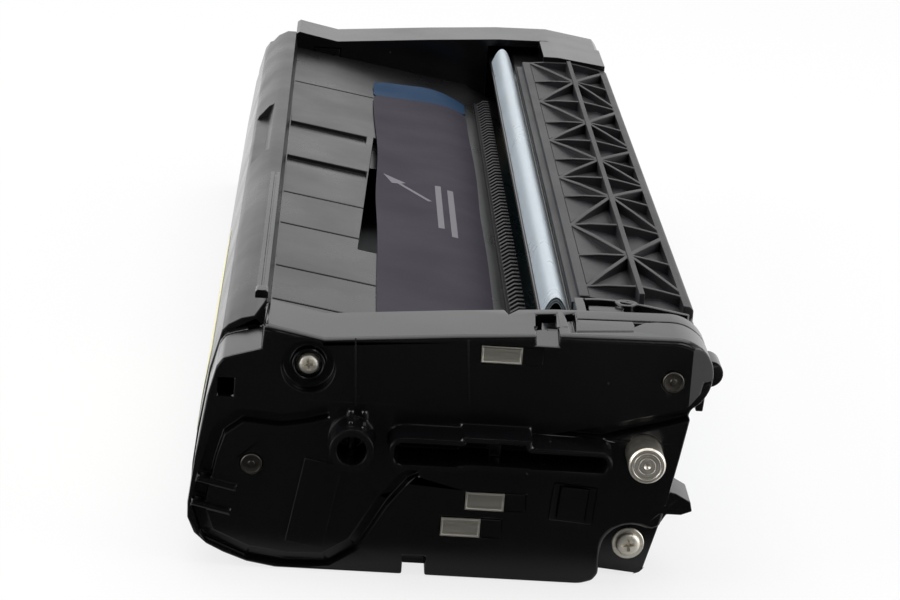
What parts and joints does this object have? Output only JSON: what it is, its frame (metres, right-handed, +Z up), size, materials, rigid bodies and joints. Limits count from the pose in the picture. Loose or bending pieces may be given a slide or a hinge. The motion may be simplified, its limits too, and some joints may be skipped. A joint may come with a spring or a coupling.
{
  "type": "toner cartridge",
  "caption": "All-in-one toner cartridge with a toner hopper, developer roller, photoconductor drum under a lattice cover, drive gears and end caps.",
  "frame": {"origin": "middle of the flat bottom of the end caps and hopper, halfway along the length", "axes": "+X from the hopper to the drum, +Y from the contact end to the drive end, +Z up"},
  "size_m": [0.1154, 0.349, 0.0571],
  "materials": {
    "black_gloss": "injection moulded, glossy black",
    "grey_black": "injection moulded, satin grey-black",
    "black_satin": "fine textured, satin black",
    "natural_plastic": "natural acetal, satin",
    "steel": "turned or rolled steel",
    "nickel": "nickel plated contact plate",
    "screw_nickel": "nickel plated screw",
    "drum_coating": "aluminium tube with a photoconductor coat",
    "roller_rubber": "conductive rubber",
    "blade_rubber": "amber polyurethane",
    "foam": "open cell foam",
    "clear_film": "polyester film",
    "purple_film": "satin protective film",
    "blue_film": "glossy blue film",
    "white_film": "folded white film",
    "label_paper": "bare coated label"
  },
  "bodies": {
    "housing": {"hopper_housing": "black_gloss", "hopper_lid": "grey_black", "ridge_rail": "black_gloss", "rail_clip": "black_satin", "fill_plug": "natural_plastic", "near_end_cap": "black_gloss", "charge_contact": "nickel", "developer_contact": "nickel", "supply_contact": "nickel", "square_plug": "black_satin", "far_end_cap": "black_gloss", "drum_frame": "black_gloss", "side_plate": "black_satin", "lattice_cover": "black_satin", "drum_pin": "steel", "developer_bushes": "natural_plastic", "charge_bushes": "natural_plastic", "cleaning_holder": "steel", "cleaning_blade": "blade_rubber", "cleaning_screws": "screw_nickel", "metering_holder": "steel", "metering_blade": "steel", "metering_screws": "screw_nickel", "recovery_film": "clear_film", "lip_film": "clear_film", "cap_screw": "screw_nickel", "ear_screw": "screw_nickel", "far_screws": "screw_nickel", "left_rivet": "steel", "right_rivet": "steel", "tooth_strip": "black_satin", "protective_sheet": "purple_film", "pull_tab": "blue_film", "folded_film": "white_film", "side_label": "label_paper"},
    "drum": {"drum_tube": "drum_coating", "drum_flange": "natural_plastic", "drum_gear": "natural_plastic"},
    "developer_roller": {"developer_shaft": "steel", "developer_sleeve": "roller_rubber", "developer_gear": "natural_plastic"},
    "idler": {"idler_gear": "natural_plastic"},
    "supply_roller": {"supply_shaft": "steel", "supply_foam": "foam", "supply_gear": "natural_plastic"},
    "feed_agitator": {"small_agitator": "natural_plastic", "small_agitator_gear": "natural_plastic"},
    "stirring_agitator": {"main_agitator": "natural_plastic", "agitator_sheet": "clear_film", "main_agitator_gear": "natural_plastic"},
    "charge_roller": {"charge_shaft": "steel", "charge_rubber": "roller_rubber"}
  },
  "joints": [
    {"name": "drum_spin", "type": "hinge", "parent": "housing", "child": "drum", "pos_m": [0.0443, 0, 0.0312], "axis": [0, 1, 0], "continuous": true},
    {"name": "developer_spin", "type": "hinge", "parent": "housing", "child": "developer_roller", "pos_m": [0.02561, 0, 0.02327], "axis": [0, 1, 0], "continuous": true},
    {"name": "idler_spin", "type": "hinge", "parent": "housing", "child": "idler", "pos_m": [0.02029, 0, 0.01032], "axis": [0, 1, 0], "continuous": true},
    {"name": "supply_spin", "type": "hinge", "parent": "housing", "child": "supply_roller", "pos_m": [0.01124, 0, 0.01804], "axis": [0, 1, 0], "continuous": true},
    {"name": "feed_spin", "type": "hinge", "parent": "housing", "child": "feed_agitator", "pos_m": [-0.00343, 0, 0.01701], "axis": [0, 1, 0], "continuous": true},
    {"name": "stirring_spin", "type": "hinge", "parent": "housing", "child": "stirring_agitator", "pos_m": [-0.02845, 0, 0.02371], "axis": [0, 1, 0], "continuous": true},
    {"name": "charge_spin", "type": "hinge", "parent": "housing", "child": "charge_roller", "pos_m": [0.04008, 0, 0.04694], "axis": [0, 1, 0], "continuous": true}
  ],
  "couplings": [
    {"joint": "developer_spin", "follows": "drum_spin", "ratio": -1.6364},
    {"joint": "idler_spin", "follows": "drum_spin", "ratio": 2},
    {"joint": "supply_spin", "follows": "drum_spin", "ratio": -2.25},
    {"joint": "feed_spin", "follows": "drum_spin", "ratio": 1.3846},
    {"joint": "stirring_spin", "follows": "drum_spin", "ratio": -0.75},
    {"joint": "charge_spin", "follows": "drum_spin", "ratio": -3}
  ]
}
